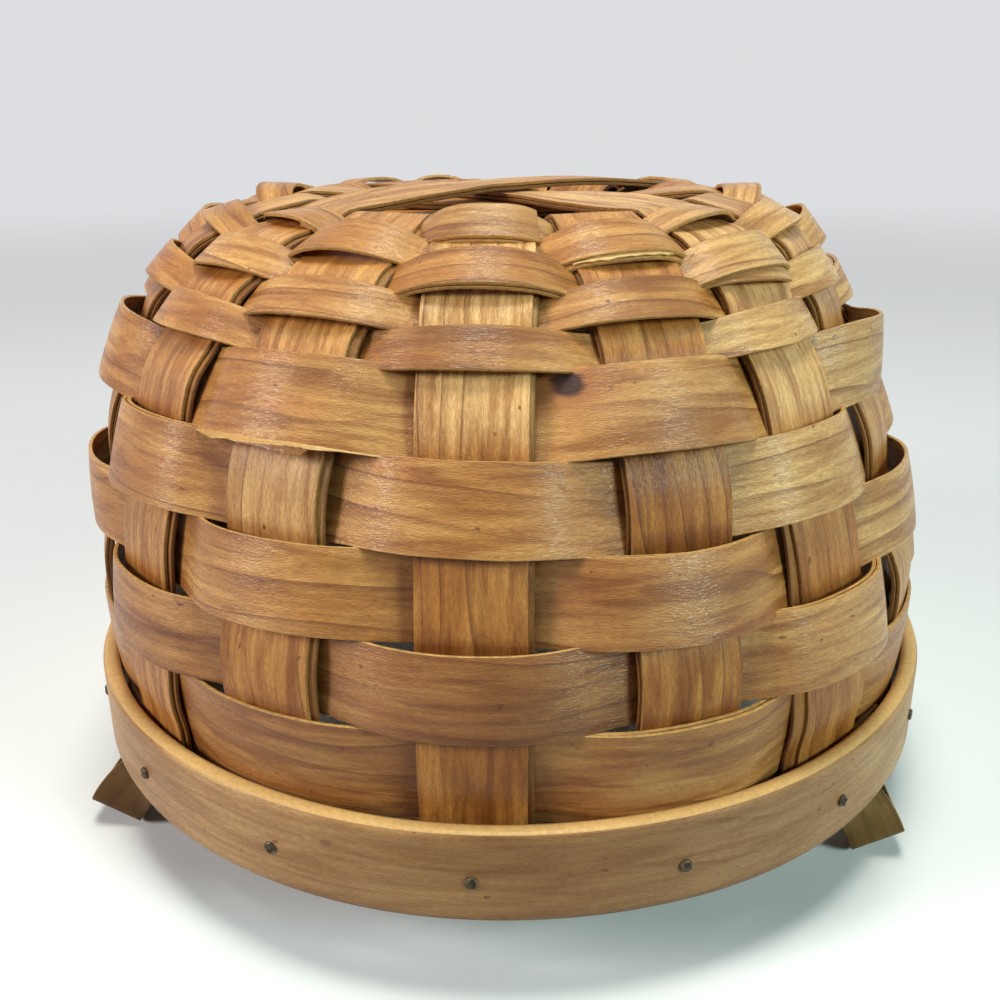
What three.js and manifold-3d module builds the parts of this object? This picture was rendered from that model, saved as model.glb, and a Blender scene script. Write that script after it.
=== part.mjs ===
// A round basket of split hardwood, standing upside down on its two strap handles.
// Eight pairs of splints cross in the middle of the base and come down as sixteen doubled
// uprights. Ten lapped bands weave round them, and two nailed hoops grip the uprights and
// the ends of the handles at the rim.
// Units are millimetres. +Z is up, the floor is z = 0 and the handles lie on the X axis.

import * as THREE from 'three';
import { mergeVertices } from 'three/addons/utils/BufferGeometryUtils.js';
import Module from 'manifold-3d';

// Uprights.
const UPRIGHT_COUNT = 16;
const UPRIGHT_WIDTH = 25.4;
const LAYER_THICKNESS = 1.2;
const CLEARANCE = 0.3;

// Rim: two hoops with the uprights between them, raised off the floor by the handles.
const RIM_BOTTOM = 25;
const RIM_HEIGHT = 25;
const OUTER_HOOP_OUTSIDE = 130.5;
const OUTER_HOOP_INSIDE = 125.5;
const INNER_HOOP_OUTSIDE = 121.1;
const INNER_HOOP_INSIDE = 117.2;
const HOOP_CHAMFER = 1.2;
const HOOP_SIDES = 48;

// Wall line: radius and height of the middle of a doubled upright, from the rim to the base.
const WALL_LINE = new THREE.SplineCurve([
  new THREE.Vector2(123, RIM_BOTTOM),
  new THREE.Vector2(123, RIM_BOTTOM + RIM_HEIGHT),
  new THREE.Vector2(123.9, 66),
  new THREE.Vector2(122.9, 84),
  new THREE.Vector2(118.6, 102),
  new THREE.Vector2(114.2, 122),
  new THREE.Vector2(106.8, 141),
  new THREE.Vector2(94.4, 160),
  new THREE.Vector2(80, 171.5),
  new THREE.Vector2(62, 179.2),
]);

// Woven bands: five wide ones on the wall, five narrow ones round the turn of the base.
const BAND_THICKNESS = 1.5;
const WIDE_BAND = { count: 5, first: 36.5, pitch: 21.1, width: 20.6 };
const NARROW_BAND = { count: 5, first: 136, pitch: 9.2, width: 8.7 };
const BAND_OUTSIDE = 3.2;
const BAND_INSIDE = 3;
const BAND_SIDE_CLEARANCE = 0.6;
const BAND_CROWNS = [0.3, 1.2, 2.2, 1.2, 2.2, 1.2, 1.0, 1.0, 0.8, 0.8];
const LAP_HALF_LENGTH = 11;
const LAP_UPRIGHTS = [2, 5, 12, 9, 6, 3, 8, 13, 10, 0];

// Base: the splints narrow towards the middle and cross there, one pair on top of the other.
const TAPER_START_RADIUS = 78;
const RING_RADIUS = 70;
const RING_WIDTH = 23.5;
const WAIST_RADIUS = 36;
const WAIST_WIDTH = 14;
const STACK_RADIUS = 40;
const STACK_TOP = 186;
const STACK_GAP = 0.15;
const STACK_ORDER = [6, 2, 4, 5, 3, 7, 1, 0];
const STACK_RISE_STEPS = 4;
const WOVEN_LENGTH = 178.5;

// Nails.
const NAIL_HEIGHT = RIM_BOTTOM + 11.3;
const NAIL_HEAD_RADIUS = 1.55;
const NAIL_HEAD_THICKNESS = 0.7;
const NAIL_SHANK_RADIUS = 0.8;
const NAIL_POINT_LENGTH = 1.2;
const NAIL_SIDES = 6;

// Handles: straps that stand on the floor on the lower edge of a leaning grip.
const STRAP_WIDTH = 16;
const STRAP_THICKNESS = 1.6;
const STRAP_LEAN = THREE.MathUtils.degToRad(27);
const STRAP_BEND_RADIUS = 5;
const STRAP_BEND_STEPS = 5;
const STRAP_TWIST_STEPS = 6;
const STRAP_PULL = 6;
const STRAP_CLAMP_RADIUS = 123.2;
const STRAP_CLAMP_TOP = RIM_BOTTOM + 22;
const STRAP_CLAMP_ANGLE = 1.5 * 2 * Math.PI / UPRIGHT_COUNT;

const PITCH_ANGLE = 2 * Math.PI / UPRIGHT_COUNT;
const HALF_COUNT = UPRIGHT_COUNT / 2;
const LAYER_OFFSET = (LAYER_THICKNESS + CLEARANCE) / 2;
const STACK_STEP = LAYER_THICKNESS + STACK_GAP;
const WALL_LENGTH = WALL_LINE.getLength();
const UP = new THREE.Vector3(0, 0, 1);

const splintWood = { color: 0xb9803f, roughness: 0.5, metalness: 0 };
const bandWood = { color: 0xc89a5a, roughness: 0.45, metalness: 0 };
const hoopWood = { color: 0xb9966a, roughness: 0.55, metalness: 0 };
const strapWood = { color: 0x8a6a42, roughness: 0.6, metalness: 0 };
const nailSteel = { color: 0x3a2c1c, roughness: 0.6, metalness: 0.8 };

const wasm = await Module();
wasm.setup();

const basket = new THREE.Group();

function addPiece(name, geometry, finish) {
  const piece = new THREE.Mesh(geometry, new THREE.MeshStandardMaterial(finish));
  piece.name = name;
  basket.add(piece);
  return piece;
}

// Keeps only the positions and joins the corners that faces share.
function weld(geometry) {
  geometry.deleteAttribute('normal');
  geometry.deleteAttribute('uv');
  const welded = mergeVertices(geometry);
  welded.computeVertexNormals();
  return welded;
}

function toSolid(geometry) {
  return new wasm.Manifold(new wasm.Mesh({
    numProp: 3,
    vertProperties: new Float32Array(geometry.attributes.position.array),
    triVerts: new Uint32Array(geometry.index.array),
  }));
}

function fromSolid(solid) {
  const mesh = solid.getMesh();
  const geometry = new THREE.BufferGeometry();
  geometry.setAttribute('position', new THREE.BufferAttribute(mesh.vertProperties, 3));
  geometry.setIndex(new THREE.BufferAttribute(mesh.triVerts, 1));
  geometry.computeVertexNormals();
  return geometry;
}

// A flat strip that runs through stations, each with a centre, a width and two directions:
// across, along the strip's width, and out, along its thickness.
function bendStrip(stations, thickness) {
  const last = stations.length - 1;
  const strip = new THREE.BoxGeometry(1, 1, thickness, last, 1, 1);
  const places = strip.attributes.position;
  const corner = new THREE.Vector3();
  for (let i = 0; i < places.count; i += 1) {
    corner.fromBufferAttribute(places, i);
    const station = stations[Math.round((corner.x + 0.5) * last)];
    const place = station.centre.clone();
    place.addScaledVector(station.across, corner.y * station.width);
    place.addScaledVector(station.out, corner.z);
    places.setXYZ(i, place.x, place.y, place.z);
  }
  return weld(strip);
}

// Upright number k stands at k pitches from the front, -Y, turning towards +X.
function uprightDirections(k) {
  const angle = k * PITCH_ANGLE;
  return {
    radial: new THREE.Vector3(Math.sin(angle), -Math.cos(angle), 0),
    sideways: new THREE.Vector3(Math.cos(angle), Math.sin(angle), 0),
  };
}

// Radius, height and the two directions of the wall line at a length from the rim edge.
function wallAt(length) {
  const share = length / WALL_LENGTH;
  const point = WALL_LINE.getPointAt(share);
  const along = WALL_LINE.getTangentAt(share);
  return { point, along, out: new THREE.Vector2(along.y, -along.x) };
}

function splintWidth(radius) {
  if (radius >= TAPER_START_RADIUS) {
    return UPRIGHT_WIDTH;
  }
  if (radius >= RING_RADIUS) {
    return THREE.MathUtils.mapLinear(radius, RING_RADIUS, TAPER_START_RADIUS, RING_WIDTH, UPRIGHT_WIDTH);
  }
  if (radius >= WAIST_RADIUS) {
    return THREE.MathUtils.mapLinear(radius, WAIST_RADIUS, RING_RADIUS, WAIST_WIDTH, RING_WIDTH);
  }
  return WAIST_WIDTH;
}

// Turns a point of the wall's section, radius and height, into a place on upright k.
function onUpright(k, section) {
  return uprightDirections(k).radial.multiplyScalar(section.x).addScaledVector(UP, section.y);
}

const bands = [WIDE_BAND, NARROW_BAND].flatMap((set) => (
  Array.from({ length: set.count }, (_, i) => ({ length: set.first + i * set.pitch, width: set.width }))
));

// Lengths at which an upright bends: the rim, the middle of each band and the wide bands' edges.
const uprightLengths = [
  0,
  RIM_HEIGHT,
  ...bands.slice(0, WIDE_BAND.count).flatMap((band) => [band.length, band.length + WIDE_BAND.pitch / 2]),
  ...bands.slice(WIDE_BAND.count).map((band) => band.length),
  WOVEN_LENGTH,
];

// Stations of one layer of upright k, offset from the wall line, from the rim to the base.
function uprightStations(k, offset) {
  const { radial, sideways } = uprightDirections(k);
  return uprightLengths.map((length) => {
    const { point, out } = wallAt(length);
    const section = point.clone().addScaledVector(out, offset);
    return {
      centre: onUpright(k, section),
      width: splintWidth(section.x),
      across: sideways.clone().negate(),
      out: radial.clone().multiplyScalar(out.x).addScaledVector(UP, out.y),
    };
  });
}

// Stations of one layer between the last band and the flat stack in the middle of the base.
function riseStations(k, offset, stackHeight) {
  const across = uprightDirections(k).sideways.negate();
  const { point, out } = wallAt(WOVEN_LENGTH);
  const startHeight = point.y + out.y * offset;
  const sections = [];
  for (let step = 1; step <= STACK_RISE_STEPS; step += 1) {
    const share = step / STACK_RISE_STEPS;
    const radius = THREE.MathUtils.lerp(point.x, STACK_RADIUS, share);
    const height = THREE.MathUtils.lerp(startHeight, stackHeight, THREE.MathUtils.smoothstep(share, 0, 1));
    sections.push(new THREE.Vector2(radius, height));
  }
  sections.push(new THREE.Vector2(WAIST_RADIUS, stackHeight));
  return sections.map((section) => ({
    centre: onUpright(k, section),
    width: splintWidth(section.x),
    across,
    out: UP,
  }));
}

// Stations of a whole splint, up one upright, across the base and down the opposite one.
function splintStations(k, offset, stackHeight) {
  const near = [...uprightStations(k, offset), ...riseStations(k, offset, stackHeight)];
  const far = [
    ...uprightStations(k + HALF_COUNT, offset),
    ...riseStations(k + HALF_COUNT, offset, stackHeight),
  ];
  const turned = far.reverse().map((station) => ({ ...station, across: near[0].across }));
  return [...near, ...turned];
}

// Turns a geometry made along +Y to point outwards through the rim at upright k.
function pointOutwards(geometry, k) {
  geometry.rotateZ(k * PITCH_ANGLE - Math.PI);
  geometry.translate(0, 0, NAIL_HEIGHT);
  return geometry;
}

// The hole that one nail makes through both hoops and the upright between them.
function nailHole(k) {
  const length = 2 * (OUTER_HOOP_OUTSIDE - INNER_HOOP_INSIDE);
  const radius = NAIL_SHANK_RADIUS + CLEARANCE;
  const drill = new THREE.CylinderGeometry(radius, radius, length, NAIL_SIDES);
  drill.translate(0, (OUTER_HOOP_OUTSIDE + INNER_HOOP_INSIDE) / 2, 0);
  return toSolid(weld(pointOutwards(drill, k)));
}

function drillNails(geometry, uprights) {
  let solid = toSolid(geometry);
  for (const k of uprights) {
    solid = solid.subtract(nailHole(k));
  }
  return fromSolid(solid);
}

// Two layers for every pair of opposite uprights, stacked where they cross.
function addSplints() {
  STACK_ORDER.forEach((k, level) => {
    const height = STACK_TOP - LAYER_THICKNESS / 2 - 2 * level * STACK_STEP;
    const outer = bendStrip(splintStations(k, LAYER_OFFSET, height), LAYER_THICKNESS);
    const inner = bendStrip(splintStations(k, -LAYER_OFFSET, height - STACK_STEP), LAYER_THICKNESS);
    addPiece(`splint_${k + 1}`, drillNails(outer, [k, k + HALF_COUNT]), splintWood);
    addPiece(`inner_splint_${k + 1}`, drillNails(inner, [k, k + HALF_COUNT]), splintWood);
  });
}

// Bands are numbered up from the rim, and alternate ones pass outside alternate uprights.
function passesOutside(index, k) {
  return (index + k) % 2 === 1;
}

// Stations of a band: outside one upright, inside the next, all the way round, with its ends
// lapped at one upright, where the end that comes last lies outside the one that came first.
function bandStations(index) {
  const { length, width } = bands[index];
  const { point, along, out } = wallAt(length);
  const widestRadius = wallAt(length - width / 2).point.x;
  const reach = splintWidth(widestRadius) / 2 + BAND_SIDE_CLEARANCE;

  function station(k, sideOffset, outOffset) {
    const { radial, sideways } = uprightDirections(k);
    const section = point.clone().addScaledVector(out, outOffset);
    return {
      centre: onUpright(k, section).addScaledVector(sideways, sideOffset),
      width,
      across: radial.clone().multiplyScalar(along.x).addScaledVector(UP, along.y),
      out: radial.clone().multiplyScalar(out.x).addScaledVector(UP, out.y),
    };
  }

  const lapUpright = LAP_UPRIGHTS[index];
  const lapStep = BAND_THICKNESS + CLEARANCE;
  const lapsOutside = passesOutside(index, lapUpright);
  const firstOffset = lapsOutside ? BAND_OUTSIDE : -BAND_INSIDE - lapStep;
  const lastOffset = firstOffset + lapStep;

  const stations = [
    station(lapUpright, -LAP_HALF_LENGTH, firstOffset),
    station(lapUpright, reach, firstOffset),
  ];
  for (let k = lapUpright + 1; k < lapUpright + UPRIGHT_COUNT; k += 1) {
    const isOutside = passesOutside(index, k);
    const edgeOffset = isOutside ? BAND_OUTSIDE : -BAND_INSIDE;
    const middleOffset = isOutside ? BAND_OUTSIDE + BAND_CROWNS[index] : -BAND_INSIDE;
    stations.push(station(k, -reach, edgeOffset));
    stations.push(station(k, 0, middleOffset));
    stations.push(station(k, reach, edgeOffset));
  }
  stations.push(station(lapUpright, -reach, lastOffset));
  stations.push(station(lapUpright, LAP_HALF_LENGTH, lastOffset));
  return stations;
}

function addBands() {
  bands.forEach((band, index) => {
    addPiece(`band_${index + 1}`, bendStrip(bandStations(index), BAND_THICKNESS), bandWood);
  });
}

// A hoop with chamfered edges.
function hoop(inside, outside) {
  const low = RIM_BOTTOM;
  const high = RIM_BOTTOM + RIM_HEIGHT;
  const outline = [
    [inside, low + HOOP_CHAMFER],
    [inside + HOOP_CHAMFER, low],
    [outside - HOOP_CHAMFER, low],
    [outside, low + HOOP_CHAMFER],
    [outside, high - HOOP_CHAMFER],
    [outside - HOOP_CHAMFER, high],
    [inside + HOOP_CHAMFER, high],
    [inside, high - HOOP_CHAMFER],
    [inside, low + HOOP_CHAMFER],
  ].map(([radius, height]) => new THREE.Vector2(radius, height));
  const ring = new THREE.LatheGeometry(outline, HOOP_SIDES);
  ring.rotateX(Math.PI / 2);
  return weld(ring);
}

function addHoops() {
  const uprights = Array.from({ length: UPRIGHT_COUNT }, (_, k) => k);
  const outer = hoop(OUTER_HOOP_INSIDE, OUTER_HOOP_OUTSIDE);
  const inner = hoop(INNER_HOOP_INSIDE, INNER_HOOP_OUTSIDE);
  addPiece('outer_hoop', drillNails(outer, uprights), hoopWood);
  addPiece('inner_hoop', drillNails(inner, uprights), hoopWood);
}

function addNails() {
  const headUnderside = OUTER_HOOP_OUTSIDE + CLEARANCE;
  const outline = [
    [0, INNER_HOOP_INSIDE],
    [NAIL_SHANK_RADIUS, INNER_HOOP_INSIDE + NAIL_POINT_LENGTH],
    [NAIL_SHANK_RADIUS, headUnderside],
    [NAIL_HEAD_RADIUS, headUnderside],
    [NAIL_HEAD_RADIUS, headUnderside + NAIL_HEAD_THICKNESS],
    [0, headUnderside + NAIL_HEAD_THICKNESS],
  ].map(([radius, height]) => new THREE.Vector2(radius, height));
  for (let k = 0; k < UPRIGHT_COUNT; k += 1) {
    const nail = new THREE.LatheGeometry(outline, NAIL_SIDES);
    addPiece(`nail_${twoDigits(k + 1)}`, weld(pointOutwards(nail, k)), nailSteel);
  }
}

// Half of a strap, from the middle of its grip round the bend and up into the rim.
function halfStrapStations() {
  const along = new THREE.Vector3(0, 1, 0);
  const gripAcross = new THREE.Vector3(Math.cos(STRAP_LEAN), 0, Math.sin(STRAP_LEAN));
  const legUp = new THREE.Vector3(-Math.sin(STRAP_LEAN), 0, Math.cos(STRAP_LEAN));
  const clampAcross = new THREE.Vector3(Math.sin(STRAP_CLAMP_ANGLE), -Math.cos(STRAP_CLAMP_ANGLE), 0);
  const clampX = STRAP_CLAMP_RADIUS * Math.cos(STRAP_CLAMP_ANGLE);
  const clampY = STRAP_CLAMP_RADIUS * Math.sin(STRAP_CLAMP_ANGLE);

  const gripHeight = STRAP_WIDTH / 2 * Math.sin(STRAP_LEAN) + STRAP_THICKNESS / 2 * Math.cos(STRAP_LEAN);
  const gripX = clampX + (RIM_BOTTOM - gripHeight) * Math.tan(STRAP_LEAN);
  const bendStart = new THREE.Vector3(gripX, clampY - STRAP_BEND_RADIUS, gripHeight);

  const path = [{ centre: new THREE.Vector3(gripX, 0, gripHeight), forward: along, across: gripAcross }];
  for (let step = 0; step <= STRAP_BEND_STEPS; step += 1) {
    const angle = step / STRAP_BEND_STEPS * Math.PI / 2;
    const centre = bendStart.clone();
    centre.addScaledVector(along, STRAP_BEND_RADIUS * Math.sin(angle));
    centre.addScaledVector(legUp, STRAP_BEND_RADIUS * (1 - Math.cos(angle)));
    const forward = along.clone().multiplyScalar(Math.cos(angle)).addScaledVector(legUp, Math.sin(angle));
    path.push({ centre, forward, across: gripAcross });
  }
  const legStart = path.at(-1).centre;
  const legEnd = new THREE.Vector3(clampX, clampY, RIM_BOTTOM);
  const leg = new THREE.CubicBezierCurve3(
    legStart,
    legStart.clone().addScaledVector(legUp, STRAP_PULL),
    legEnd.clone().addScaledVector(UP, -STRAP_PULL),
    legEnd,
  );
  for (let step = 1; step <= STRAP_TWIST_STEPS; step += 1) {
    const share = step / STRAP_TWIST_STEPS;
    const turn = THREE.MathUtils.smoothstep(share, 0, 1);
    const across = gripAcross.clone().lerp(clampAcross, turn);
    path.push({ centre: leg.getPointAt(share), forward: leg.getTangentAt(share), across });
  }
  path.push({ centre: new THREE.Vector3(clampX, clampY, STRAP_CLAMP_TOP), forward: UP, across: clampAcross });
  return path;
}

function addHandle(name, turn) {
  const half = halfStrapStations();
  const mirrored = half.slice(1).reverse().map(({ centre, forward, across }) => ({
    centre: centre.clone().multiply(new THREE.Vector3(1, -1, 1)),
    forward: forward.clone().multiply(new THREE.Vector3(-1, 1, -1)),
    across: across.clone().multiply(new THREE.Vector3(1, -1, 1)),
  }));
  const stations = [...mirrored, ...half].map(({ centre, forward, across }) => {
    const square = across.clone().addScaledVector(forward, -across.dot(forward)).normalize();
    return { centre, width: STRAP_WIDTH, across: square, out: forward.clone().cross(square) };
  });
  const handle = addPiece(name, bendStrip(stations, STRAP_THICKNESS), strapWood);
  handle.rotation.z = turn;
}

function twoDigits(number) {
  return String(number).padStart(2, '0');
}

addSplints();
addBands();
addHoops();
addNails();
addHandle('handle_right', 0);
addHandle('handle_left', Math.PI);

export default basket;
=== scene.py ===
import math
import random

import bmesh
import bpy
from mathutils import Matrix, Vector, noise


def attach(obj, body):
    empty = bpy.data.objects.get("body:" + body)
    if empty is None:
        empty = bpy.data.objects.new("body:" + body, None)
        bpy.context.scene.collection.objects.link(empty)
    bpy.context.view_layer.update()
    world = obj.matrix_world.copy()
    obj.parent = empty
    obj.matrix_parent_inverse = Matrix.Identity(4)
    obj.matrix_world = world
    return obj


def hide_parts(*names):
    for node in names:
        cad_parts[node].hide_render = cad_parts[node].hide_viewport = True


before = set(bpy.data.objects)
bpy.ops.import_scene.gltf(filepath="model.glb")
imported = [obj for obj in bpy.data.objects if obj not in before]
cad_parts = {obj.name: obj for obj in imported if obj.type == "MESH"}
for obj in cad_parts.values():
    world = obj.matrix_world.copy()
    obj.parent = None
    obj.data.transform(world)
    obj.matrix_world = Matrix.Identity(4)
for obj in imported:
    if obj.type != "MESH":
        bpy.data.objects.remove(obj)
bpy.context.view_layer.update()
scene = bpy.context.scene
up = Vector((0, 0, 1))
chance = random.Random(7)
weldDistance = 1e-6

# Camera, as the basket was photographed
cameraSpot = {
    "place": (0.0231, -0.3331, 0.2067),
    "yaw": math.radians(-4.433),      # turned a little to the left of +Y
    "pitch": math.radians(20.394),    # looking down
    "roll": math.radians(0.463),
    "lens": 38.98,
    "sensor": 36,
    "nearest": 0.01,
}


def addCamera():
    yaw, pitch, roll = cameraSpot["yaw"], cameraSpot["pitch"], cameraSpot["roll"]
    ahead = Vector((math.sin(yaw) * math.cos(pitch), math.cos(yaw) * math.cos(pitch), -math.sin(pitch)))
    right = Vector((math.cos(yaw), -math.sin(yaw), 0))
    down = ahead.cross(right)
    across = right * math.cos(roll) + down * math.sin(roll)
    lower = down * math.cos(roll) - right * math.sin(roll)
    data = bpy.data.cameras.new("camera")
    data.sensor_width = cameraSpot["sensor"]
    data.lens = cameraSpot["lens"]
    data.clip_start = cameraSpot["nearest"]
    holder = bpy.data.objects.new("camera", data)
    scene.collection.objects.link(holder)
    turn = Matrix((across, -lower, -ahead)).transposed().to_4x4()
    holder.matrix_world = Matrix.Translation(cameraSpot["place"]) @ turn
    scene.camera = holder


# Small numbers and curves

def smooth(x):
    x = min(1.0, max(0.0, x))
    return x * x * (3 - 2 * x)


def mix(a, b, x):
    return a + (b - a) * x


# Value at x on a line through (place, value) stops
def between(stops, x):
    if x <= stops[0][0]:
        return stops[0][1]
    for (a, va), (b, vb) in zip(stops, stops[1:]):
        if x <= b:
            return mix(va, vb, (x - a) / (b - a))
    return stops[-1][1]


waveStep = {"seed": 3.71, "depth": 0.37}


# Slow change along a place, different for every seed
def wave(place, seed, size):
    return size * noise.noise(Vector((place, seed * waveStep["seed"], waveStep["depth"])))


# Squares off a swing from -1 to 1, less so for a greater softness
def sharpen(x, soft):
    return x / math.sqrt(x * x + soft * soft) * math.sqrt(1 + soft * soft)


# Shader helpers

def newFinish(name):
    material = bpy.data.materials.new(name)
    material.use_nodes = True
    return material, material.node_tree, material.node_tree.nodes["Principled BSDF"]


def addNode(tree, kind, **settings):
    made = tree.nodes.new(kind)
    for key, value in settings.items():
        setattr(made, key, value)
    return made


def plug(tree, value, socket):
    if isinstance(value, bpy.types.NodeSocket):
        tree.links.new(value, socket)
    else:
        socket.default_value = value


def fill(tree, made, *values):
    for value, socket in zip(values, made.inputs):
        plug(tree, value, socket)
    return made


def maths(tree, operation, *values):
    return fill(tree, addNode(tree, "ShaderNodeMath", operation=operation), *values).outputs[0]


def speckle(tree, place, scale, detail=2.0, rough=0.5, twist=0.0, dimensions="2D"):
    spread = addNode(tree, "ShaderNodeMapping")
    plug(tree, place, spread.inputs["Vector"])
    spread.inputs["Scale"].default_value = scale
    made = addNode(tree, "ShaderNodeTexNoise", noise_dimensions=dimensions)
    plug(tree, spread.outputs[0], made.inputs["Vector"])
    made.inputs["Scale"].default_value = 1.0
    made.inputs["Detail"].default_value = detail
    made.inputs["Roughness"].default_value = rough
    made.inputs["Distortion"].default_value = twist
    return made.outputs["Fac"]


def ease(tree, value, low, high, start=0.0, end=1.0):
    made = addNode(tree, "ShaderNodeMapRange", interpolation_type="SMOOTHSTEP")
    return fill(tree, made, value, low, high, start, end).outputs[0]


def tint(tree, amount, a, b, how="MIX"):
    made = addNode(tree, "ShaderNodeMix", data_type="RGBA", blend_type=how)
    plug(tree, amount, made.inputs["Factor"])
    plug(tree, a, made.inputs["A"])
    plug(tree, b, made.inputs["B"])
    return made.outputs["Result"]


def vectorMaths(tree, operation, *values):
    made = fill(tree, addNode(tree, "ShaderNodeVectorMath", operation=operation), *values)
    return made.outputs["Value" if operation == "LENGTH" else "Vector"]


def relief(tree, height, depth):
    made = addNode(tree, "ShaderNodeBump")
    made.inputs["Strength"].default_value = 1.0
    made.inputs["Distance"].default_value = depth
    plug(tree, height, made.inputs["Height"])
    return made.outputs[0]


def grey(tree, value):
    return fill(tree, addNode(tree, "ShaderNodeCombineColor"), value, value, value).outputs[0]


# Shows one of two shaders, or some of each
def showMixed(tree, output, amount, first, second):
    blend = addNode(tree, "ShaderNodeMixShader")
    fill(tree, blend, amount, first.outputs[0], second.outputs[0])
    plug(tree, blend.outputs[0], tree.nodes[output].inputs["Surface"])


# Woods: light and middle tone, dark growth rings, palest tone (paler wood, and painted light where the tone
# is high), cut edge, where it starts on the width and its darkest share, depth of stains, growth rings per
# metre of width and how they wander, strength of the rings, fibres and streaks, roughness and coat of varnish
woodLooks = {
    "splintWood": {
        "light": (0.80, 0.390, 0.098, 1), "middle": (0.60, 0.242, 0.049, 1), "dark": (0.20, 0.056, 0.009, 1),
        # the cut edge is the wood's own edge colour, darkened in part as painted shade for the shade beside
        # the uprights
        "pale": (1.00, 0.640, 0.280, 1), "edge": (0.37, 0.180, 0.050, 1), "edgeFrom": 0.490, "edgeLow": 0.66,
        "stainDepth": 0.86, "rings": 160, "ringWander": 4.0, "ringStrength": 0.72,
        "fibre": 0.64, "streak": 0.66, "rough": 0.38, "coat": 0.13,
    },
    # a darker copy of the splint wood, as painted shade: the inner layer shows only at its edges, in the
    # shade between the layers
    "shadedInnerSplintWood": {
        "light": (0.48, 0.215, 0.056, 1), "middle": (0.36, 0.145, 0.032, 1), "dark": (0.14, 0.042, 0.008, 1),
        "pale": (0.66, 0.400, 0.140, 1), "edge": (0.21, 0.090, 0.023, 1), "edgeFrom": 0.470, "edgeLow": 0.66,
        "stainDepth": 0.86, "rings": 160, "ringWander": 4.0, "ringStrength": 0.60,
        "fibre": 0.46, "streak": 0.40, "rough": 0.48, "coat": 0.12,
    },
    "bandWood": {
        "light": (0.79, 0.425, 0.136, 1), "middle": (0.60, 0.265, 0.066, 1), "dark": (0.22, 0.066, 0.011, 1),
        "pale": (0.93, 0.640, 0.285, 1), "edge": (0.58, 0.32, 0.100, 1), "edgeFrom": 0.490, "edgeLow": 0.64,
        "stainDepth": 0.86, "rings": 112, "ringWander": 3.0, "ringStrength": 0.75,
        "fibre": 0.60, "streak": 0.60, "rough": 0.37, "coat": 0.27,
    },
    "hoopWood": {
        "light": (0.68, 0.415, 0.180, 1), "middle": (0.55, 0.305, 0.113, 1), "dark": (0.27, 0.115, 0.033, 1),
        "pale": (0.76, 0.490, 0.230, 1), "edge": (0.63, 0.37, 0.135, 1), "edgeFrom": 0.4975, "edgeLow": 0.90,
        "stainDepth": 0.42, "rings": 80, "ringWander": 2.6, "ringStrength": 0.40,
        "fibre": 0.52, "streak": 0.46, "rough": 0.46, "coat": 0.16,
    },
    "strapWood": {
        "light": (0.27, 0.155, 0.042, 1), "middle": (0.20, 0.111, 0.028, 1), "dark": (0.11, 0.058, 0.020, 1),
        "pale": (0.40, 0.260, 0.110, 1), "edge": (0.40, 0.26, 0.11, 1), "edgeFrom": 0.485, "edgeLow": 0.85,
        "stainDepth": 0.60, "rings": 140, "ringWander": 2.8, "ringStrength": 0.40,
        "fibre": 0.36, "streak": 0.30, "rough": 0.62, "coat": 0.0,
    },
    "rawWood": {
        "light": (0.90, 0.620, 0.280, 1), "middle": (0.78, 0.470, 0.170, 1), "dark": (0.45, 0.210, 0.060, 1),
        "pale": (0.94, 0.700, 0.360, 1), "edge": (0.74, 0.44, 0.16, 1), "edgeFrom": 0.480, "edgeLow": 0.80,
        "stainDepth": 0.40, "rings": 300, "ringWander": 3.0, "ringStrength": 0.20,
        "fibre": 0.50, "streak": 0.30, "rough": 0.60, "coat": 0.0,
    },
}
# The fifth band, which has the knot, is of the same wood as the others
woodLooks["knottyWood"] = woodLooks["bandWood"]
# How fine each marking is along the grain and across it
woodGrain = {
    "ringFlow": (7, 34, 1), "ringPatch": (12, 36, 1), "fibres": (520, 4200, 1), "streaks": (52, 600, 1),
    "dots": (230, 330, 1), "blotches": (24, 85, 1), "patches": (10, 30, 1), "stains": (26, 200, 1),
    "grit": (1500, 2600, 1), "glints": (420, 2400, 1), "edges": (700, 700, 2600),
}
# How the markings show: noise from and to and, with four numbers, the strength at each end
woodMarks = {
    "ringLine": (0.89, 0.97), "ringPower": 3.0, "ringHalf": 0.5, "ringShowing": (0.36, 0.60, 0.10, 1.0),
    "blotch": (0.33, 0.67), "paleShare": 0.85, "patch": (0.52, 0.80, 0.0, 0.30), "stained": (0.42, 0.68),
    "dot": (0.79, 0.84, 0.0, 0.8), "fibre": (0.28, 0.72), "edge": (0.30, 0.70), "edgeHigh": 1.08,
    "edgeFull": 0.4998, "gloss": (0.3, 0.7), "duller": 0.14, "glossier": 0.03, "gritShare": 0.8,
    # the last colour darkens where the tone is below nought: dirt, and painted shade
    "stain": (0.58, 0.44, 0.29, 1), "darkFibre": (0.58, 0.45, 0.36, 1), "shadeAndDirt": (0.34, 0.200, 0.090, 1),
    "bump": 0.00013, "glintDepth": 0.00019, "coatRough": 0.19, "specular": 0.30,
}
# A knot: colours, bend of the rings round it, and its parts as shares of its size
knotLook = {
    "core": (0.045, 0.013, 0.007, 1), "halo": (0.40, 0.150, 0.055, 1), "bend": 1.8,
    "shape": (0.80, 0.80, 1.35),      # longer along a band than across it
    "ragged": 0.7, "haloReach": 4.0, "haloDepth": 0.5, "coreFrom": 0.95, "coreTo": 1.4,
}


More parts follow.
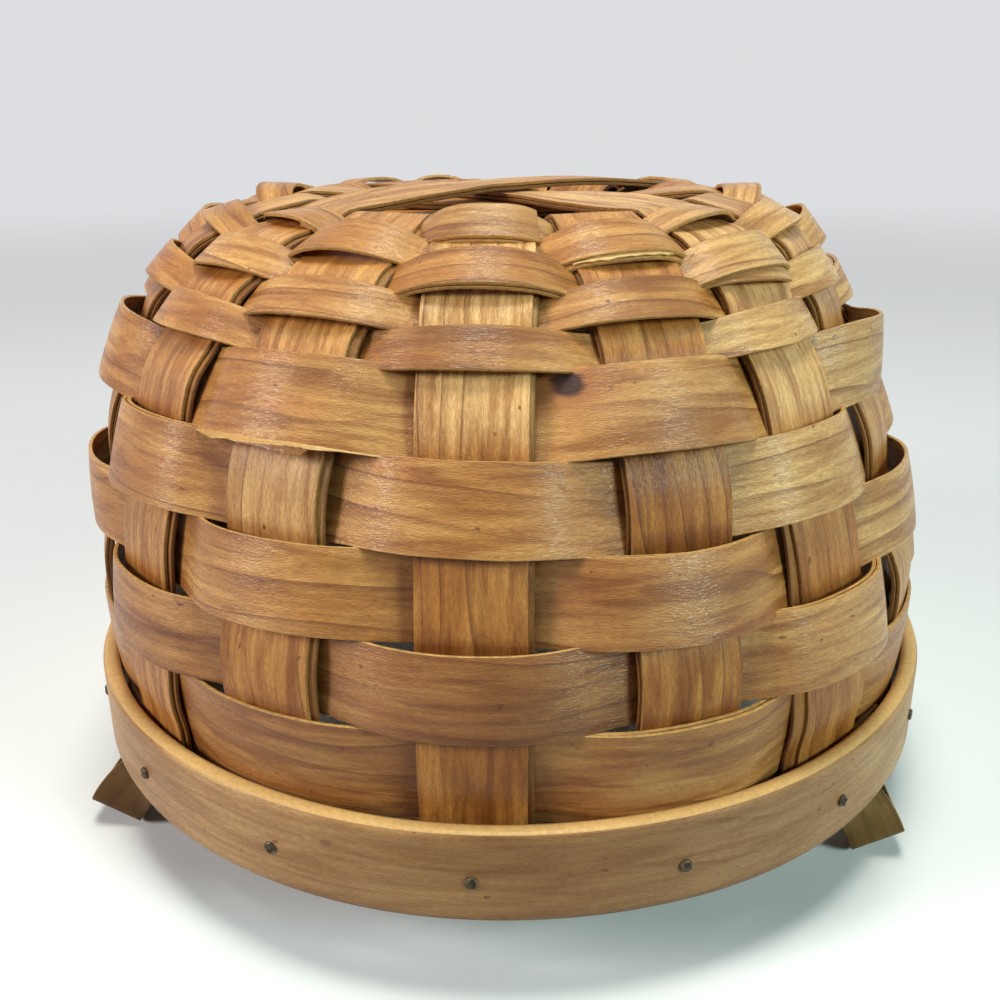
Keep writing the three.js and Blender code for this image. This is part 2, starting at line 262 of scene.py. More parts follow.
def makeWood(name, look, knot=None):
    marks = woodMarks
    material, tree, skin = newFinish(name)
    grain = addNode(tree, "ShaderNodeUVMap", uv_map="grain").outputs[0]
    span = addNode(tree, "ShaderNodeUVMap", uv_map="span").outputs[0]
    tone = addNode(tree, "ShaderNodeAttribute", attribute_name="tone").outputs["Fac"]
    place = addNode(tree, "ShaderNodeTexCoord").outputs["Object"]
    sides = addNode(tree, "ShaderNodeSeparateXYZ")
    plug(tree, grain, sides.inputs[0])

    def marking(kind, **settings):
        return speckle(tree, grain, woodGrain[kind], **settings)

    fibres = marking("fibres", detail=2.0, rough=0.6)
    streaks = marking("streaks", detail=3.0, rough=0.6)
    blotches = marking("blotches", detail=2.0, twist=0.3)
    patches = marking("patches", detail=1.0)
    flow = marking("ringFlow", rough=0.4)
    wander = maths(tree, "MULTIPLY", flow, look["ringWander"])
    if knot:
        # growth rings go round a knot
        size = knot["size"]
        offset = vectorMaths(tree, "SUBTRACT", place, knot["at"])
        away = vectorMaths(tree, "LENGTH", vectorMaths(tree, "MULTIPLY", offset, knotLook["shape"]))
        ragged = maths(tree, "MULTIPLY_ADD", streaks, size * knotLook["ragged"], away)
        halo = ease(tree, ragged, size, size * knotLook["haloReach"], 1.0, 0.0)
        core = ease(tree, ragged, size * knotLook["coreFrom"], size * knotLook["coreTo"], knot["depth"], 0.0)
        wander = maths(tree, "MULTIPLY_ADD", halo, knotLook["bend"], wander)
    # growth rings darken slowly, end in a thin line, and show in places only
    phase = maths(tree, "FRACT", maths(tree, "MULTIPLY_ADD", sides.outputs[1], look["rings"], wander))
    line = maths(tree, "MULTIPLY", ease(tree, phase, *marks["ringLine"]), marks["ringHalf"])
    slow = maths(tree, "POWER", phase, marks["ringPower"])
    rings = maths(tree, "MULTIPLY_ADD", slow, marks["ringHalf"], line)
    showing = ease(tree, marking("ringPatch", detail=1.0), *marks["ringShowing"])
    rings = maths(tree, "MULTIPLY", rings, showing)
    colour = tint(tree, ease(tree, blotches, *marks["blotch"]), look["light"], look["middle"])
    # paler where the tone is above nought: paler wood, and painted light and highlights where light falls
    # strongly
    colour = tint(tree, maths(tree, "MULTIPLY", tone, marks["paleShare"]), colour, look["pale"])
    colour = tint(tree, ease(tree, patches, *marks["patch"]), colour, look["dark"])
    # varnish that has sunk in unevenly
    stains = marking("stains", detail=3.0, rough=0.6, twist=0.4)
    stained = ease(tree, stains, *marks["stained"], 0.0, look["stainDepth"])
    colour = tint(tree, stained, colour, marks["stain"], "MULTIPLY")
    colour = tint(tree, maths(tree, "MULTIPLY", rings, look["ringStrength"]), colour, look["dark"])
    dots = ease(tree, marking("dots", detail=1.0), *marks["dot"])
    colour = tint(tree, dots, colour, look["dark"])
    for pattern, depth in ((fibres, look["fibre"]), (streaks, look["streak"])):
        thin = ease(tree, pattern, *marks["fibre"], depth, 0.0)
        colour = tint(tree, thin, colour, marks["darkFibre"], "MULTIPLY")
    if knot:
        ring = maths(tree, "MULTIPLY", halo, knotLook["haloDepth"] * knot["depth"])
        colour = tint(tree, ring, colour, knotLook["halo"])
        colour = tint(tree, core, colour, knotLook["core"])
    # darker where the tone is below nought: sunk stain and dirt, and painted shade in crevices, under the rim
    # and along the front
    colour = tint(tree, maths(tree, "MULTIPLY", tone, -1.0), colour, marks["shadeAndDirt"], "MULTIPLY")
    # cut edges
    across = addNode(tree, "ShaderNodeSeparateXYZ")
    plug(tree, span, across.inputs[0])
    fromMiddle = maths(tree, "ABSOLUTE", maths(tree, "SUBTRACT", across.outputs[1], 0.5))
    layers = speckle(tree, place, woodGrain["edges"], detail=3.0, dimensions="3D")
    uneven = ease(tree, layers, *marks["edge"], look["edgeLow"], marks["edgeHigh"])
    edge = tint(tree, 1.0, look["edge"], grey(tree, uneven), "MULTIPLY")
    colour = tint(tree, ease(tree, fromMiddle, look["edgeFrom"], marks["edgeFull"]), colour, edge)
    plug(tree, colour, skin.inputs["Base Color"])
    dullest = look["rough"] + marks["duller"]
    glossiest = look["rough"] - marks["glossier"]
    plug(tree, ease(tree, fibres, *marks["gloss"], dullest, glossiest), skin.inputs["Roughness"])
    skin.inputs["Specular IOR Level"].default_value = marks["specular"]
    skin.inputs["Coat Weight"].default_value = look["coat"]
    skin.inputs["Coat Roughness"].default_value = marks["coatRough"]
    grit = marking("grit", detail=1.0)
    height = maths(tree, "MULTIPLY_ADD", grit, marks["gritShare"], fibres)
    plug(tree, relief(tree, height, marks["bump"]), skin.inputs["Normal"])
    # the varnish is uneven too, so its gloss breaks up into glints
    glints = marking("glints", detail=1.0)
    plug(tree, relief(tree, glints, marks["glintDepth"]), skin.inputs["Coat Normal"])
    return material


nailLook = {
    "black": (0.040, 0.028, 0.018, 1), "rust": (0.15, 0.10, 0.055, 1), "spots": (900, 900, 900),
    "spread": (0.4, 0.65), "metal": 0.6, "rough": 0.5,
}


def makeNailSteel():
    material, tree, skin = newFinish("nailSteel")
    place = addNode(tree, "ShaderNodeTexCoord").outputs["Object"]
    rust = speckle(tree, place, nailLook["spots"], detail=4.0, dimensions="3D")
    colour = tint(tree, ease(tree, rust, *nailLook["spread"]), nailLook["black"], nailLook["rust"])
    plug(tree, colour, skin.inputs["Base Color"])
    skin.inputs["Metallic"].default_value = nailLook["metal"]
    skin.inputs["Roughness"].default_value = nailLook["rough"]
    return material


# The wall of the basket: radius and height of the middle of an upright, from the rim up
wall = {
    "line": [(0.123, 0.025), (0.123, 0.050), (0.1239, 0.066), (0.1229, 0.084), (0.1186, 0.102),
             (0.1142, 0.122), (0.1068, 0.141), (0.0944, 0.160), (0.080, 0.1715), (0.062, 0.1792)],
    "steps": 20,          # points worked out between two of these
    "rimHeight": 0.025,
    "wovenLength": 0.1785,
    # the left side swells and the right side draws in, by this much at a length up the wall
    "sway": [(0.0365, 0.0), (0.0576, 0.0006), (0.0787, 0.0026), (0.0998, 0.0038), (0.1209, 0.0054),
             (0.1360, 0.0046), (0.1546, 0.0030), (0.1730, 0.0008), (0.1785, 0.0)],
    # both sides have fuller shoulders than the front and the back
    "fuller": [(0.128, 0.0), (0.144, 0.0016), (0.158, 0.0034), (0.163, 0.0024), (0.1705, -0.0028),
               (0.1785, -0.0036)],
    "higher": [(0.128, 0.0), (0.144, 0.0016), (0.158, 0.0034), (0.168, 0.0030), (0.1785, 0.0016)],
    "sidePower": 4,
    "slopeStep": 0.002,
}


# Catmull-Rom line through the wall's points, with its running length
def traceWall():
    pts = [Vector(p) for p in wall["line"]]
    pts = [2 * pts[0] - pts[1]] + pts + [2 * pts[-1] - pts[-2]]
    traced = []
    for a, b, c, d in zip(pts, pts[1:], pts[2:], pts[3:]):
        for i in range(wall["steps"]):
            t = i / wall["steps"]
            bend = (2 * a - 5 * b + 4 * c - d) * t * t + (3 * b - a - 3 * c + d) * t ** 3
            traced.append(0.5 * (2 * b + (c - a) * t + bend))
    traced.append(pts[-2])
    lengths = [0.0]
    for p, q in zip(traced, traced[1:]):
        lengths.append(lengths[-1] + (q - p).length)
    radii = [(length, p.x) for length, p in zip(lengths, traced)]
    heights = [(length, p.y) for length, p in zip(lengths, traced)]
    return radii, heights


wallRadii, wallHeights = traceWall()


# Point, direction up the wall and direction outwards, as (radius, height), at an angle round the basket
def wallAt(length, angle):
    step = wall["slopeStep"]

    def spot(at):
        sway = between(wall["sway"], at) * math.sin(angle)
        sideOn = math.sin(angle) ** wall["sidePower"]
        radius = between(wallRadii, at) - sway + between(wall["fuller"], at) * sideOn
        return Vector((radius, between(wallHeights, at) + between(wall["higher"], at) * sideOn))

    along = (spot(min(length + step, wallRadii[-1][0])) - spot(max(length - step, 0))).normalized()
    return spot(length), along, Vector((along.y, -along.x))


def radialAt(angle):
    return Vector((math.sin(angle), -math.cos(angle), 0))


def sidewaysAt(angle):
    return Vector((math.cos(angle), math.sin(angle), 0))


def addPiece(name, bm, finish):
    mesh = bpy.data.meshes.new(name)
    bm.to_mesh(mesh)
    bm.free()
    mesh.materials.append(finish)
    piece = bpy.data.objects.new(name, mesh)
    scene.collection.objects.link(piece)
    return piece


stripEdge = {"segments": 2, "angle": math.radians(50)}


# A strip swept through stations: centre, across, out and width, with its middle bowed
def sweepStrip(name, stations, make, finishName, closed=False, even=True):
    grainAt = anyGrain()
    bm = bmesh.new()
    last = len(stations) - 1
    bmesh.ops.create_grid(bm, x_segments=last, y_segments=make["across"], size=0.5)
    run = [0.0]
    for a, b in zip(stations, stations[1:]):
        run.append(run[-1] + (b["centre"] - a["centre"]).length)
    grain = bm.loops.layers.uv.new("grain")
    span = bm.loops.layers.uv.new("span")
    tone = bm.verts.layers.float.new("tone")
    for face in bm.faces:
        for loop in face.loops:
            x, y = loop.vert.co.x + 0.5, loop.vert.co.y
            station = stations[round(x * last)]
            loop[grain].uv = (run[round(x * last)] + grainAt[0], y * station["width"] + grainAt[1])
            loop[span].uv = (x, y + 0.5)
        face.smooth = True
    for v in bm.verts:
        station = stations[round((v.co.x + 0.5) * last)]
        side = v.co.y * station["width"]
        v[tone] = station.get("tone", 0.0)
        bowed = station["out"] * station.get("bow", 0.0) * side * side
        v.co = station["centre"] + station["across"] * side + bowed
    if closed:
        bmesh.ops.remove_doubles(bm, verts=bm.verts, dist=weldDistance)
    piece = addPiece("wood_" + name, bm, finishes[finishName])
    thick = piece.modifiers.new("thickness", "SOLIDIFY")
    thick.thickness = make["thickness"]
    thick.offset = 0
    thick.use_even_offset = even
    edge = piece.modifiers.new("edges", "BEVEL")
    edge.width = make["round"]
    edge.segments = stripEdge["segments"]
    edge.limit_method = "ANGLE"
    edge.angle_limit = stripEdge["angle"]
    shading = piece.modifiers.new("shading", "WEIGHTED_NORMAL")
    shading.keep_sharp = True
    return piece


def settle(piece, slotName, *nodes):
    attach(piece, "root")
    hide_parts(*nodes)


def anyGrain():
    return chance.uniform(0, 9), chance.uniform(0, 9)


# Uprights: eight pairs of splints that cross on the base, so sixteen round the wall
uprights = {
    "count": 16,
    "thickness": 0.00096,  # of one of the two layers
    "spread": 0.00060,     # how far a layer's middle lies from the wall line
    "round": 0.00020,
    "width": [(0.036, 0.0155), (0.070, 0.0235), (0.078, 0.0254)],
    "stationStep": 0.0022,
    "across": 8,
    # slow waves along an upright: how many to a metre, step of the seed and size
    "lean": (9, 0, 0.0008), "edgeWave": (60, 5, 0.0003), "toneWave": (14, 9, 0.20),
    "innerSeed": 40,
    "farSeed": 20,
    "bow": -0.3,
    # degrees that an upright stands off its even place
    "offPlace": {0: 0.0, 1: 1.2, 2: 0.5, 3: 0.6, 13: -0.4, 14: -0.9, 15: -1.1},
    # pairs from the top of the stack down, with the height of the outer layer in the middle
    "stack": [(6, 0.1832), (2, 0.1804), (4, 0.1778), (5, 0.1753), (3, 0.1729), (7, 0.1705),
              (1, 0.1681), (0, 0.1657)],
    "pairStep": 0.00118,
    # the crossing is level out to this distance, less for the topmost pairs
    "stackRadius": {6: 0.012, 2: 0.014, 4: 0.022},
    "fullStack": 0.038,
    "onTop": (6, 2),
    "stackShade": 0.75,    # painted shade on the pairs that lie below those, darker towards the middle
    # how far a splint rolls towards the front on its way to the crossing
    "roll": {2: -0.14, 14: 0.12},
    "shadeAndDirt": 0.55,         # painted shade, with some dirt, just beside a band that lies over an upright
    "shadeAndDirtReach": 0.18,    # how far it goes, as a share of the band's width
    "riseSteps": 14,
    # an upright leaves the wall less steeply on its way to a low crossing
    "slopeFrom": 0.008, "slopeOver": 0.012, "leastLift": 0.002,
    "pushEnd": 0.004,      # how far past the weaving the push of the bands dies out
    # sideways shift of the inner layer at the rim and at the base, where its edge shows past the outer one
    "innerShift": {0: (0.0010, 0.0005), 1: (-0.0004, -0.0006), 2: (-0.0044, 0.0004), 3: (-0.001, -0.001),
                   5: (0.001, 0.001), 7: (-0.0015, 0.001), 9: (0.001, 0.0), 11: (0.0014, 0.0),
                   13: (0.0006, 0.001), 14: (0.0014, 0.0022), 15: (0.0015, 0.0020)},
    "shiftFrom": 0.03, "shiftOver": 0.1,
    # lighter and darker sticks, as (length up the wall, tone) stops: wood tone, together with painted light
    # and highlights where the sticks catch more light, higher up and to the right, and painted shade low down
    # at the front
    "tone": {0: [(0.03, -0.28), (0.085, -0.12), (0.112, 0.50), (0.135, 1.25), (0.15, 1.50), (0.17, 0.80)],
             1: [(0.03, -0.15), (0.10, -0.22), (0.118, -0.05), (0.134, 0.60), (0.15, 0.20)],
             2: [(0.03, -0.05), (0.085, 0.05), (0.112, 1.05), (0.15, 1.0)],
             15: [(0.03, -0.10), (0.06, 0.05), (0.095, 0.95), (0.11, 0.90), (0.15, 0.45)],
             14: [(0.03, 0.0), (0.07, 0.25), (0.12, 0.25), (0.17, 0.60)],
             13: [(0.0, 0.10), (0.15, 0.15), (0.172, 0.80)],
             3: [(0.0, 0.45), (0.12, 0.60), (0.14, 1.0)],
             4: [(0.0, 0.60)],
             6: [(0.0, -0.15), (0.15, 0.0), (0.172, 0.50)],
             8: [(0.0, 0.15)],
             9: [(0.0, -0.15)],
             11: [(0.0, 0.15)],
             12: [(0.0, -0.10), (0.15, 0.0), (0.172, 0.70)]},
}
pitchAngle = 2 * math.pi / uprights["count"]


# Angle of a place counted in uprights, so 0.5 is halfway from upright 0 to upright 1
def uprightAngle(t):
    k = math.floor(t)
    near = uprights["offPlace"].get(k % uprights["count"], 0.0)
    far = uprights["offPlace"].get((k + 1) % uprights["count"], 0.0)
    return t * pitchAngle + math.radians(mix(near, far, smooth(t - k)))


# Bands from the rim up: middle along the wall, width, how far they stand out and in, tilt, softness of
# the bends, push on the uprights, lap from and to (in uprights). Some have another tilt at the front or at
# the left and right side, stand out more at the right, or droop where the lap starts or ends
bandRows = [
    {"at": 0.0342, "width": 0.0254, "outside": 0.0021, "inside": 0.0018, "tilt": 0.0, "soft": 1.0,
     "push": 0.0008, "lap": (0.1, 1.9)},
    {"at": 0.0576, "width": 0.0209, "outside": 0.0042, "tilt": 0.02, "soft": 1.0,
     "push": 0.0010, "lap": (1.1, 2.9)},
    {"at": 0.0787, "width": 0.0209, "outside": 0.0056, "tilt": 0.04, "soft": 1.0,
     "push": 0.0010, "lap": (0.1, 1.9), "sideTilt": (-0.10, -0.10), "sideOut": 0.0014},
    {"at": 0.0998, "width": 0.0212, "outside": 0.0044, "tilt": 0.04, "soft": 1.0,
     "push": 0.0010, "lap": (-2.9, -1.1)},
    {"at": 0.1209, "width": 0.0209, "outside": 0.0058, "tilt": 0.06, "soft": 0.9,
     "push": 0.0010, "lap": (6.1, 7.9), "sideTilt": (-0.06, -0.46), "sideOut": 0.0014,
     "finish": "knottyWood"},
    {"at": 0.1348, "width": 0.0110, "outside": 0.0046, "tilt": 0.10, "soft": 1.3,
     "push": 0.0006, "lap": (3.1, 4.9)},
    {"at": 0.1432, "width": 0.0112, "outside": 0.0045, "tilt": 0.06, "soft": 1.3,
     "push": 0.0006, "lap": (8.1, 9.9)},
    {"at": 0.1519, "width": 0.0112, "outside": 0.0044, "tilt": 0.0, "soft": 1.3,
     "push": 0.0006, "lap": (-0.8, 2.40), "endUnder": True, "droop": 0.0034},
    {"at": 0.1612, "width": 0.0112, "outside": 0.0042, "tilt": 0.04, "soft": 1.3,
     "push": 0.0006, "lap": (0.1, 1.9), "startDroop": 0.0013, "frontTilt": -0.14},
    {"at": 0.1703, "width": 0.0110, "outside": 0.0040, "tilt": 0.20, "soft": 0.9,
     "push": 0.0005, "lap": (-1.7, 0.42), "frontTilt": -0.28},
]
bandMake = {
    "thickness": 0.00106, "stepsPerUpright": 30, "across": 8, "round": 0.00022, "bow": -3.0, "inside": 0.0032,
    "liftSpread": 0.0005, "gap": 0.00028, "sink": 0.0008, "narrowFrom": 5, "squeeze": 0.10,
    "shadeAndDirt": 0.42,         # painted shade and dirt where a band goes in beside an upright
    "shadeAndDirtReach": 0.8,
    # slow waves round a band: how many to a radian, step of the seed and size
    "drift": (2.2, 11, 0.0005), "edgeWave": (9, 31, 0.0003), "toneWave": (1.6, 51, 0.30),
    # in uprights: half of the front, the way over which a lap lies down, the way over which its end droops
    "frontHalf": 0.6, "lapEase": 0.7, "droopEase": 1.2,
}


# A slow wave with these settings, at a place along an upright or round a band
def slowWave(settings, place, seed):
    count, seedStep, size = settings
    return wave(place * count, seed + seedStep, size)


# Lighter and darker lengths of a band, as (place in uprights, tone) stops: wood tone, with painted light on
# the right side and painted shade along the front
bandTones = {
    0: [(-2.0, -0.15), (-0.6, -0.50), (1.0, -0.30), (2.0, 0.0)],
    1: [(-2.0, -0.15), (-1.0, -0.12), (-0.5, 0.05), (0.1, -0.68), (0.6, -0.50), (1.2, -0.10),
        (2.0, 0.20), (3.0, 0.40), (5.5, 0.0)],
    2: [(-1.5, 0.10), (0.8, -0.15), (1.8, 0.0), (2.5, 0.60), (4.0, 0.50), (5.5, 0.0)],
    3: [(-2.0, 0.0), (-1.0, -0.10), (0.0, -0.25), (0.8, -0.05), (1.5, 0.70), (2.5, 0.80), (3.4, 0.30)],
    4: [(0.2, 0.0), (0.9, 0.15), (1.8, 0.20), (2.5, 0.60), (3.6, 0.60), (5.5, 0.0)],
    5: [(-0.8, 0.0), (0.0, -0.62), (0.7, 0.0), (1.5, 0.80), (2.8, 0.80), (4.4, 0.50), (5.5, 0.0)],
    6: [(-2.0, 0.0), (-1.2, 0.10), (0.0, 0.0), (1.0, -0.22), (2.0, 0.30), (2.8, 0.80), (4.0, 0.60),
        (5.5, 0.0)],
    7: [(-3.0, 0.0), (-2.0, 0.15), (-0.6, 0.05), (0.0, 0.05), (1.0, 0.0), (2.2, 0.70), (4.0, 0.60),
        (5.5, 0.0)],
    8: [(-3.0, -0.20), (-1.4, 0.10), (-0.6, 0.15), (1.0, 0.10), (2.0, 0.35), (4.0, 0.50), (5.5, 0.0)],
    9: [(-1.2, 0.0), (0.0, 0.55), (1.2, 0.10), (2.4, 0.50), (4.0, 0.50), (5.5, 0.0)],
}


# How far a length of a band has slipped down the wall, as (place in uprights, drop) stops
bandDrops = {
    2: [(-0.6, 0.0), (0.4, 0.0012), (1.0, 0.0026), (1.8, 0.0020), (2.6, 0.0010), (3.2, 0.0020), (4.2, 0.0)],
    3: [(-0.6, 0.0), (0.4, 0.0018), (0.7, 0.0026), (1.2, 0.0021), (2.4, 0.0021), (3.6, 0.0)],
    4: [(-0.8, 0.0006), (0.0, 0.0012), (0.5, 0.0026), (1.6, 0.0030), (2.4, 0.0030), (3.2, 0.0066),
        (4.8, 0.0)],
    5: [(-1.2, 0.0), (-0.4, 0.0016), (0.6, 0.0020), (2.0, 0.0020), (3.0, 0.0)],
    7: [(-2.2, 0.0), (-1.5, -0.0014), (-0.9, 0.0)],
    8: [(-2.0, 0.0), (-1.5, 0.0010), (-1.0, 0.0)],
    9: [(-1.0, 0.0), (0.0, 0.0008), (1.0, 0.0)],
}


def passesOutside(row, k):
    return (row + k) % 2 == 1


# Arches that stand higher or lower than the rest, by row and upright
oddLifts = {(8, 9): 0.0026, (9, 8): -0.0018, (9, 14): -0.0020, (9, 0): -0.0010}
bandLifts = [[chance.uniform(-1, 1) * bandMake["liftSpread"] for _ in range(uprights["count"])]
             for _ in bandRows]
# Where the sides of the basket start and end, in uprights from the front
sideSpan = {"start": 2.1, "rise": 0.7, "end": 4.0, "fade": 2.0}


# One at the sides of the basket, nought at the front and the back
def atSide(fromFront):
    away = abs(fromFront)
    past = smooth((away - sideSpan["end"]) / sideSpan["fade"])
    return smooth((away - sideSpan["start"]) / sideSpan["rise"]) * (1 - past)


# One place on a band, t in uprights; in a lap it may be the outer or the inner layer
def bandStation(row, t, outerLayer=0.0, innerLayer=0.0, drop=0.0):
    band = bandRows[row]
    angle = uprightAngle(t)
    k = round(t)
    beat = sharpen(math.cos(math.pi * (t - k)), band["soft"]) * (1 if passesOutside(row, k) else -1)
    overness = smooth(beat * 0.5 + 0.5)
    offset = mix(-band.get("inside", bandMake["inside"]), band["outside"], beat * 0.5 + 0.5)
    place = k % uprights["count"]
    offset += (bandLifts[row][place] + oddLifts.get((row, place), 0.0)) * max(0.0, beat)
    step = bandMake["thickness"] + bandMake["gap"]
    offset += step * (outerLayer * overness - innerLayer * (1 - overness))
    narrow = row >= bandMake["narrowFrom"]
    sink = bandMake["sink"] * math.sin(angle) if narrow else 0.0
    half = uprights["count"] / 2
    fromFront = (t + half) % uprights["count"] - half
    drop += between(bandDrops.get(row, [(0.0, 0.0)]), fromFront)
    length = band["at"] - sink - drop + slowWave(bandMake["drift"], angle, row)
    point, along, out = wallAt(length, angle)
    section = point + out * offset
    offFront = smooth(abs(fromFront) - bandMake["frontHalf"])
    tilt = mix(band.get("frontTilt", band["tilt"]), band["tilt"], offFront)
    if fromFront > 0:
        section += out * band.get("sideOut", 0.0) * atSide(fromFront)
    leftTilt, rightTilt = band.get("sideTilt", (tilt, tilt))
    tilt = mix(tilt, rightTilt if fromFront > 0 else leftTilt, atSide(fromFront))
    leaned = (along - out * tilt).normalized()
    squeeze = bandMake["squeeze"] * (1 - abs(beat)) if narrow else 0.0
    radial = radialAt(angle)
    bandTone = between(bandTones[row], fromFront) + slowWave(bandMake["toneWave"], angle, row)
    return {
        "centre": radial * section.x + up * section.y,
        "across": radial * leaned.x + up * leaned.y,
        "out": radial * out.x + up * out.y,
        "width": band["width"] * (1 - squeeze) + slowWave(bandMake["edgeWave"], angle, row),
        "bow": bandMake["bow"],
        # painted shade and dirt where the band goes in beside an upright
        "tone": bandTone - bandMake["shadeAndDirt"] * (1 - smooth((beat + 1) / bandMake["shadeAndDirtReach"])),
    }


def addBands():
    for row, band in enumerate(bandRows):
        start, end = band["lap"]
        turns = uprights["count"] + end - start
        count = round(turns * bandMake["stepsPerUpright"])
        lapEase, droopEase = bandMake["lapEase"], bandMake["droopEase"]
        stations = []
        for i in range(count + 1):
            t = start + turns * i / count
            leaving = smooth((t - start - uprights["count"] + lapEase) / lapEase)
            arriving = 1 - smooth((t - end) / lapEase)
            if band.get("endUnder"):
                over, under = arriving, leaving
            else:
                over, under = leaving, arriving
            ending = smooth((t - end - uprights["count"] + droopEase) / droopEase)
            drop = band.get("droop", 0.0) * ending + band.get("startDroop", 0.0) * arriving
            stations.append(bandStation(row, t, over, under, drop))
        name = f"band_{row + 1}"
        piece = sweepStrip(name, stations, bandMake, band.get("finish", "bandWood"))
        settle(piece, "band_wood", name)


# Torn fibres: row, from and to (in uprights), where on the width, how wide, how far they stand out,
# share of the length over which each end tapers
tears = [
    {"name": "tear_left", "row": 4, "span": (-1.66, -0.36), "side": -0.5, "wide": 0.0021, "stand": 0.0003,
     "finish": "rawWood", "taper": (0.30, 0.45), "tone": 0.0},
    {"name": "curl_left", "row": 4, "span": (-1.12, -0.74), "side": -0.555, "wide": 0.0027, "stand": 0.0009,
     "finish": "bandWood", "taper": (0.85, 0.08), "tone": -0.6},
    {"name": "tear_top", "row": 8, "span": (0.60, 1.36), "side": -0.52, "wide": 0.0019, "stand": 0.0008,
     "finish": "rawWood", "taper": (0.25, 0.12), "tone": 0.2},
]
tearMake = {
    "steps": 60, "across": 2, "thickness": 0.0004, "round": 0.00008, "jags": 13, "jagMiddle": 0.70,
    "jagDepth": 0.40, "seedStep": 5.3, "narrowest": 0.0004, "offset": 0.25,
}


def addTears():
    for seed, tear in enumerate(tears):
        band = bandRows[tear["row"]]
        start, end = tear["span"]
        stations = []
        for i in range(tearMake["steps"] + 1):
            along = i / tearMake["steps"]
            station = bandStation(tear["row"], mix(start, end, along))
            ends = smooth(along / tear["taper"][0]) * smooth((1 - along) / tear["taper"][1])
            place = Vector((along * tearMake["jags"], seed * tearMake["seedStep"], 0))
            jag = tearMake["jagMiddle"] + tearMake["jagDepth"] * noise.noise(place)
            wide = max(tearMake["narrowest"], tear["wide"] * ends * jag)
            aside = tear["side"] * band["width"] - tearMake["offset"] * wide
            station["centre"] += station["across"] * aside
            station["centre"] += station["out"] * tear["stand"]
            station["width"] = wide
            station["tone"] = tear["tone"]
            stations.append(station)
        piece = sweepStrip(tear["name"], stations, tearMake, tear["finish"], even=False)
        settle(piece, "band_wood", f"band_{tear['row'] + 1}")


# Place on the outer face of a band, t in uprights and side from -0.5 to 0.5 of the width
def bandSpot(row, t, side):
    station = bandStation(row, t)
    face = station["out"] * bandMake["thickness"] / 2
    return station["centre"] + station["across"] * side * station["width"] + face


# One knot in the fifth band and the ghost of one in the rim
bandKnot = {"row": 4, "place": 0.475, "side": 0.35, "size": 0.0039, "depth": 1.0}
rimKnot = {"angle": math.radians(-15.4), "height": 0.0426, "size": 0.0015, "depth": 0.35}


def placeKnots():
    onBand = bandSpot(bandKnot["row"], bandKnot["place"], bandKnot["side"])
    onRim = radialAt(rimKnot["angle"]) * hoops["outer_hoop"]["outside"] + up * rimKnot["height"]
    return {"knottyWood": dict(bandKnot, at=onBand), "hoopWood": dict(rimKnot, at=onRim)}


# How far upright k is pushed out or in by the bands that pass it, at a length up the wall
def pushAt(k, length):
    stops = [(wall["rimHeight"], 0.0)]
    for row, band in enumerate(bandRows):
        stops.append((band["at"], -band["push"] if passesOutside(row, k) else band["push"]))
    stops.append((wall["wovenLength"] + uprights["pushEnd"], 0.0))
    for (a, da), (b, db) in zip(stops, stops[1:]):
        if a <= length <= b:
            return mix(da, db, smooth((length - a) / (b - a)))
    return 0.0


# How much painted shade, with some dirt, darkens upright k beside the bands that lie over it
def shadeAndDirtAt(k, length):
    dirt = 0.0
    for row, band in enumerate(bandRows):
        if passesOutside(row, k):
            beside = abs(length - band["at"]) - band["width"] / 2
            dirt = max(dirt, 1 - smooth(beside / (uprights["shadeAndDirtReach"] * band["width"])))
    return dirt * uprights["shadeAndDirt"]


